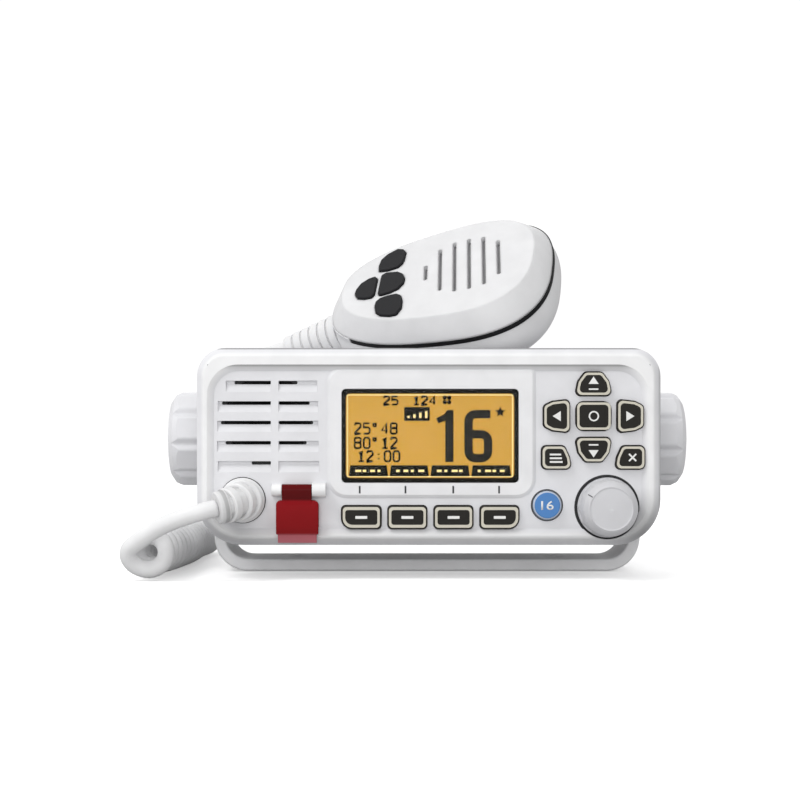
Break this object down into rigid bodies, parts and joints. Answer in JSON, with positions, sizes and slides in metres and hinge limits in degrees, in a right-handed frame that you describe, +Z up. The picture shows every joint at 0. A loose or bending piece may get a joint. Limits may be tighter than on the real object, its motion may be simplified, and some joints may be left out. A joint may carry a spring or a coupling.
{
  "type": "marine vhf radio",
  "caption": "Fixed-mount marine VHF radio in a tilting U bracket with clamping knobs, LCD front panel, keys, dial, guarded distress key, and a fist microphone on a curly cord.",
  "frame": {"origin": "on the mounting surface, midway between the bracket's fixing holes, straight below the tilt axis", "axes": "+X to the viewer's right along the tilt axis, +Y from the front panel to the rear, +Z up"},
  "size_m": [0.1947, 0.1668, 0.1277],
  "materials": {
    "bracket_white": "satin white powder coat",
    "knob_white": "satin moulded",
    "steel": "machined",
    "washer_black": "matt",
    "brass": "machined",
    "panel_white": "satin moulded",
    "key_dark": "matt silicone",
    "soft_key_white": "matt silicone",
    "key_blue": "matt silicone",
    "key_red": "matt silicone",
    "cover_red": "polished clear red",
    "dial_grey": "satin moulded",
    "shaft_plastic": "moulded",
    "encoder_metal": "stamped",
    "window_clear": "clear polished",
    "lcd_amber": "lit film",
    "backlight_white": "clear light guide",
    "mat_grey": "matt silicone",
    "board_green": "solder mask",
    "speaker_frame_black": "black",
    "cone_paper": "treated paper",
    "magnet": "ferrite",
    "case_white": "white coated casting",
    "screw_steel": "stainless",
    "seal_black": "matt",
    "socket_nickel": "nickel plated",
    "contact_gold": "gold flash",
    "gland_black": "matt",
    "boot_white": "matt",
    "cord_white": "semi-matt jacket",
    "mic_white": "fine texture",
    "mic_key_black": "matt silicone",
    "ptt_white": "matt"
  },
  "bodies": {
    "bracket": {"bracket": "bracket_white"},
    "radio": {"front_panel": "panel_white", "case": "case_white", "case_seal": "seal_black", "case_screws": "screw_steel", "pivot_washers": "washer_black", "side_inserts": "brass", "display_window": "window_clear", "lcd_panel": "lcd_amber", "lcd_backlight": "backlight_white", "keypad_mat": "mat_grey", "logic_board": "board_green", "main_board": "board_green", "speaker_frame": "speaker_frame_black", "speaker_cone": "cone_paper", "speaker_magnet": "magnet", "antenna_socket": "socket_nickel", "antenna_contact": "contact_gold", "power_lead_gland": "gland_black", "dial_encoder": "encoder_metal", "distress_pin": "steel", "cord_boot_panel": "boot_white", "cord_lead_front": "cord_white", "curly_cord": "cord_white", "curly_cord_upper": "cord_white", "cord_lead_mic": "cord_white"},
    "knob_left": {"knob_left": "knob_white", "knob_stud_left": "steel"},
    "knob_right": {"knob_right": "knob_white", "knob_stud_right": "steel"},
    "distress_cover": {"distress_cover": "cover_red"},
    "dial_push": {"dial_sleeve": "shaft_plastic"},
    "dial": {"dial_shaft": "shaft_plastic", "dial_knob": "dial_grey"},
    "mic": {"mic_front_shell": "mic_white", "mic_rear_shell": "mic_white", "mic_gasket": "seal_black", "mic_board": "board_green", "mic_capsule": "encoder_metal", "mic_boot": "boot_white", "mic_hanger_button": "screw_steel", "mic_screws": "screw_steel"},
    "ptt": {"ptt_paddle": "ptt_white"},
    "key_up": {"key_up": "key_dark"},
    "key_down": {"key_down": "key_dark"},
    "key_left": {"key_left": "key_dark"},
    "key_right": {"key_right": "key_dark"},
    "key_enter": {"key_enter": "key_dark"},
    "key_menu": {"key_menu": "key_dark"},
    "key_clear": {"key_clear": "key_dark"},
    "soft_key_1": {"soft_key_1": "soft_key_white"},
    "soft_key_2": {"soft_key_2": "soft_key_white"},
    "soft_key_3": {"soft_key_3": "soft_key_white"},
    "soft_key_4": {"soft_key_4": "soft_key_white"},
    "key_channel": {"key_channel": "key_blue"},
    "distress_key": {"distress_key": "key_red"},
    "mic_key_up": {"mic_key_up": "mic_key_black"},
    "mic_key_left": {"mic_key_left": "mic_key_black"},
    "mic_key_right": {"mic_key_right": "mic_key_black"},
    "mic_key_down": {"mic_key_down": "mic_key_black"}
  },
  "joints": [
    {"name": "radio_tilt", "type": "hinge", "parent": "bracket", "child": "radio", "pos_m": [0, 0, 0.0469], "axis": [1, 0, 0], "range_deg": [-15, 15]},
    {"name": "knob_left_turn", "type": "hinge", "parent": "radio", "child": "knob_left", "pos_m": [-0.084, 0, 0.0469], "axis": [-1, 0, 0], "continuous": true},
    {"name": "knob_right_turn", "type": "hinge", "parent": "radio", "child": "knob_right", "pos_m": [0.084, 0, 0.0469], "axis": [1, 0, 0], "continuous": true},
    {"name": "key_up_press", "type": "slide", "parent": "radio", "child": "key_up", "axis": [0, 1, 0], "range_m": [0, 0.0006], "stiffness_N_per_m": 900, "springref_m": -0.00028},
    {"name": "key_down_press", "type": "slide", "parent": "radio", "child": "key_down", "axis": [0, 1, 0], "range_m": [0, 0.0006], "stiffness_N_per_m": 900, "springref_m": -0.00028},
    {"name": "key_left_press", "type": "slide", "parent": "radio", "child": "key_left", "axis": [0, 1, 0], "range_m": [0, 0.0006], "stiffness_N_per_m": 900, "springref_m": -0.00028},
    {"name": "key_right_press", "type": "slide", "parent": "radio", "child": "key_right", "axis": [0, 1, 0], "range_m": [0, 0.0006], "stiffness_N_per_m": 900, "springref_m": -0.00028},
    {"name": "key_enter_press", "type": "slide", "parent": "radio", "child": "key_enter", "axis": [0, 1, 0], "range_m": [0, 0.0006], "stiffness_N_per_m": 900, "springref_m": -0.00028},
    {"name": "key_menu_press", "type": "slide", "parent": "radio", "child": "key_menu", "axis": [0, 1, 0], "range_m": [0, 0.0006], "stiffness_N_per_m": 900, "springref_m": -0.00028},
    {"name": "key_clear_press", "type": "slide", "parent": "radio", "child": "key_clear", "axis": [0, 1, 0], "range_m": [0, 0.0006], "stiffness_N_per_m": 900, "springref_m": -0.00028},
    {"name": "soft_key_1_press", "type": "slide", "parent": "radio", "child": "soft_key_1", "axis": [0, 1, 0], "range_m": [0, 0.0006], "stiffness_N_per_m": 900, "springref_m": -0.00028},
    {"name": "soft_key_2_press", "type": "slide", "parent": "radio", "child": "soft_key_2", "axis": [0, 1, 0], "range_m": [0, 0.0006], "stiffness_N_per_m": 900, "springref_m": -0.00028},
    {"name": "soft_key_3_press", "type": "slide", "parent": "radio", "child": "soft_key_3", "axis": [0, 1, 0], "range_m": [0, 0.0006], "stiffness_N_per_m": 900, "springref_m": -0.00028},
    {"name": "soft_key_4_press", "type": "slide", "parent": "radio", "child": "soft_key_4", "axis": [0, 1, 0], "range_m": [0, 0.0006], "stiffness_N_per_m": 900, "springref_m": -0.00028},
    {"name": "key_channel_press", "type": "slide", "parent": "radio", "child": "key_channel", "axis": [0, 1, 0], "range_m": [0, 0.0006], "stiffness_N_per_m": 900, "springref_m": -0.00028},
    {"name": "distress_key_press", "type": "slide", "parent": "radio", "child": "distress_key", "axis": [0, 1, 0], "range_m": [0, 0.0006], "stiffness_N_per_m": 900, "springref_m": -0.00028},
    {"name": "distress_cover_flip", "type": "hinge", "parent": "radio", "child": "distress_cover", "pos_m": [-0.0443, -0.0469, 0.03], "axis": [-1, 0, 0], "range_deg": [0, 100], "stiffness_Nm_per_rad": 0.004, "springref_deg": -28.65},
    {"name": "dial_push_in", "type": "slide", "parent": "radio", "child": "dial_push", "axis": [0, 1, 0], "range_m": [0, 0.0003], "stiffness_N_per_m": 2500, "springref_m": -0.00032},
    {"name": "dial_turn", "type": "hinge", "parent": "dial_push", "child": "dial", "pos_m": [0.06, -0.05, 0.0241], "axis": [0, -1, 0], "continuous": true},
    {"name": "mic_lift", "type": "slide", "parent": "radio", "child": "mic", "axis": [0, 0, 1], "range_m": [0, 0.1]},
    {"name": "mic_key_up_press", "type": "slide", "parent": "mic", "child": "mic_key_up", "axis": [0.3347, 0.6015, -0.7254], "range_m": [0, 0.0006], "stiffness_N_per_m": 900, "springref_m": -0.00028},
    {"name": "mic_key_left_press", "type": "slide", "parent": "mic", "child": "mic_key_left", "axis": [0.3347, 0.6015, -0.7254], "range_m": [0, 0.0006], "stiffness_N_per_m": 900, "springref_m": -0.00028},
    {"name": "mic_key_right_press", "type": "slide", "parent": "mic", "child": "mic_key_right", "axis": [0.3347, 0.6015, -0.7254], "range_m": [0, 0.0006], "stiffness_N_per_m": 900, "springref_m": -0.00028},
    {"name": "mic_key_down_press", "type": "slide", "parent": "mic", "child": "mic_key_down", "axis": [0.3347, 0.6015, -0.7254], "range_m": [0, 0.0006], "stiffness_N_per_m": 900, "springref_m": -0.00028},
    {"name": "ptt_press", "type": "slide", "parent": "mic", "child": "ptt", "axis": [-0.1168, -0.7374, -0.6653], "range_m": [0, 0.0015], "stiffness_N_per_m": 1500, "springref_m": -0.0008}
  ]
}
